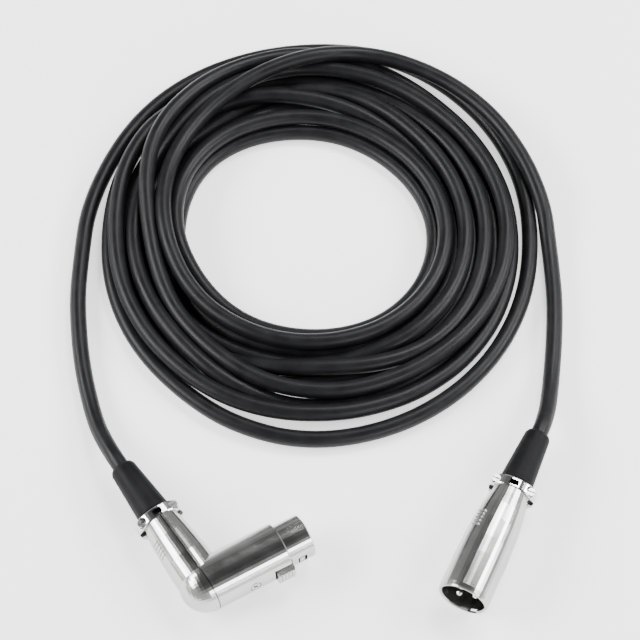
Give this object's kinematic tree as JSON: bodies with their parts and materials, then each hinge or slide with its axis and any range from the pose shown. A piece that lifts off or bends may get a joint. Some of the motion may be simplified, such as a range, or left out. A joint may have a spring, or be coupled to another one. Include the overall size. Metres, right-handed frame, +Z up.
{
  "type": "xlr microphone cable",
  "caption": "Balanced microphone cable lying in a loose coil, with a right-angle latching female XLR connector and a straight male XLR connector.",
  "frame": {"origin": "on the floor, under the middle of the box that holds the two connectors", "axes": "+Z up from the floor that the cable lies on; +X from the female connector towards the male connector; +Y from the connectors towards the coil"},
  "size_m": [0.1935, 0.2629, 0.0192],
  "materials": {
    "satin_nickel": "satin nickel plated die casting",
    "polished_nickel": "bright nickel plated die casting",
    "screw_steel": "plated steel screws and pin",
    "contact_plating": "silver plated contacts",
    "spring_steel": "bare spring steel",
    "insert_plastic": "black moulded nylon",
    "boot_rubber": "matt black rubber",
    "cable_jacket": "semi-gloss black flexible jacket",
    "core_red": "red core insulation",
    "core_white": "white core insulation",
    "screen_braid": "bare copper screen, twisted"
  },
  "bodies": {
    "cable": {"cable_coil": "cable_jacket", "cable_female_lead": "cable_jacket", "cable_male_lead": "cable_jacket", "female_back_cover": "satin_nickel", "female_boot": "boot_rubber", "female_clamp_saddle": "polished_nickel", "female_clamp_screw_left": "screw_steel", "female_clamp_screw_right": "screw_steel", "female_contact_1": "contact_plating", "female_contact_2": "contact_plating", "female_contact_3": "contact_plating", "female_earth_clip": "spring_steel", "female_front_body": "satin_nickel", "female_insert": "insert_plastic", "female_insert_screw": "screw_steel", "female_latch_pin": "screw_steel", "female_latch_spring": "spring_steel", "female_wire_1": "core_red", "female_wire_2": "core_white", "female_wire_3": "screen_braid", "male_boot": "boot_rubber", "male_clamp_saddle": "polished_nickel", "male_clamp_screw_left": "screw_steel", "male_clamp_screw_right": "screw_steel", "male_earth_clip": "spring_steel", "male_insert": "insert_plastic", "male_insert_screw": "screw_steel", "male_pin_1": "contact_plating", "male_pin_2": "contact_plating", "male_pin_3": "contact_plating", "male_shell": "satin_nickel", "male_wire_1": "core_red", "male_wire_2": "core_white", "male_wire_3": "screen_braid"},
    "latch": {"female_latch": "polished_nickel"}
  },
  "joints": [
    {"name": "latch_release", "type": "hinge", "parent": "cable", "child": "latch", "pos_m": [-0.0242, -0.02163, 0.0096], "axis": [0, 0, 1], "range_deg": [0, 4], "stiffness_Nm_per_rad": 0.25, "springref_deg": -4.58}
  ]
}
